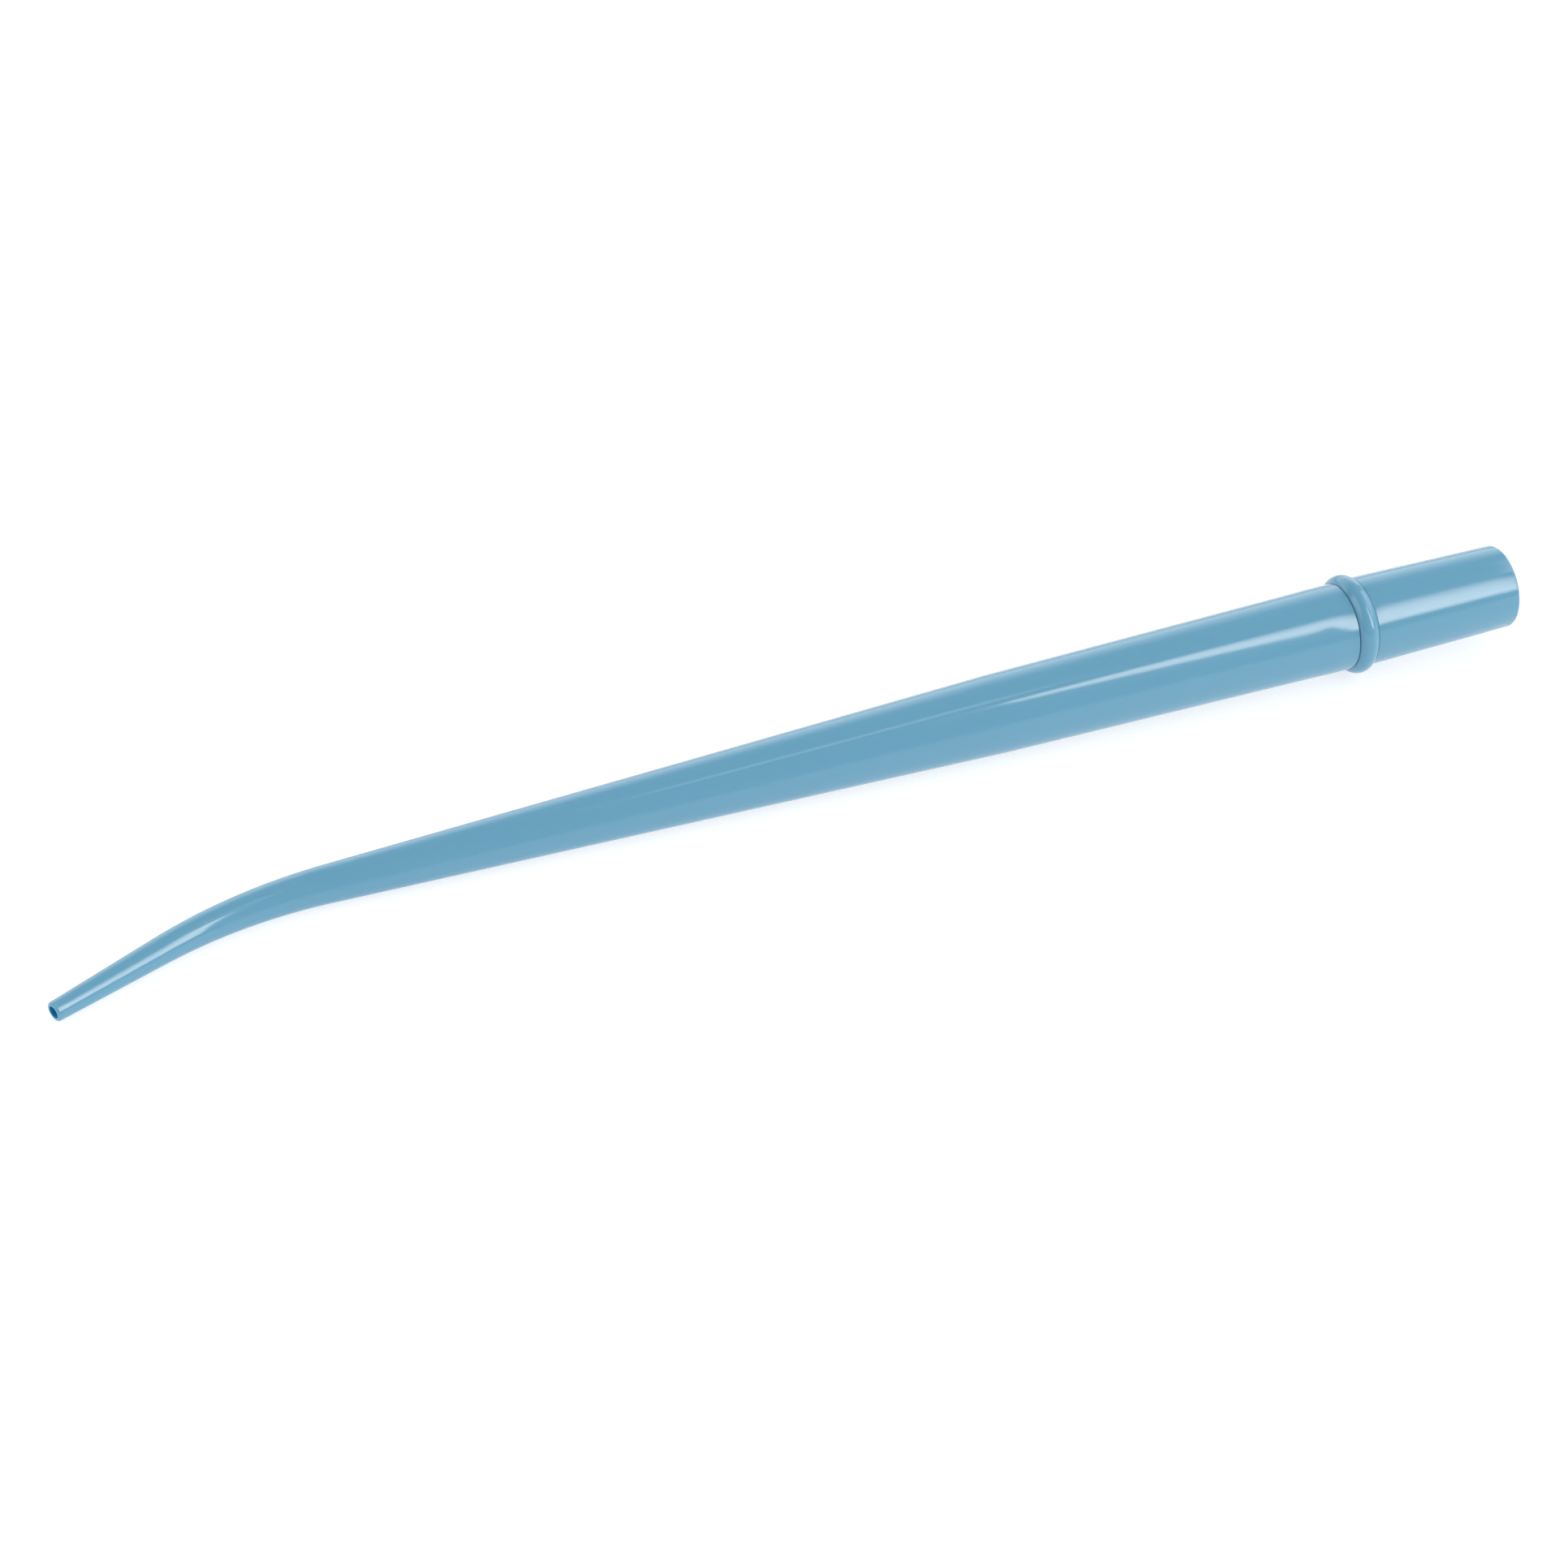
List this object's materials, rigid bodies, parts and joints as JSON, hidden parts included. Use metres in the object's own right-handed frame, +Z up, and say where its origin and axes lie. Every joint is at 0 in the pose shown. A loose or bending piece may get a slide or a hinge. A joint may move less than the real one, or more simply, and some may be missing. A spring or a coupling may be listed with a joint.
{
  "type": "surgical aspirator tip",
  "caption": "Rigid dental suction tip: a long tapered barrel with a fine bent nose, a stop ring, and a short round connector that pushes into a high-volume suction valve.",
  "frame": {"origin": "the middle of the bounding box's underside, so that the part lies on the floor at z = 0 on its stop ring, its shoulder and the side of its bent nose", "axes": "+X runs from the valve connector to the nose, +Y is the side that the nose bends towards, +Z is up from the surface that the part lies on. The barrel's axis dips 1.66 degrees from +X towards the floor"},
  "size_m": [0.1886, 0.0172, 0.0126],
  "materials": {
    "barrel_plastic": "smooth moulded light blue polypropylene, semi-gloss, with faint lengthwise draw lines",
    "ring_plastic": "smooth moulded light blue polypropylene, semi-gloss",
    "connector_plastic": "smooth moulded light blue polypropylene, semi-gloss"
  },
  "bodies": {
    "root": {"suction_barrel": "barrel_plastic", "stop_ring": "ring_plastic", "valve_connector": "connector_plastic"}
  },
  "joints": []
}
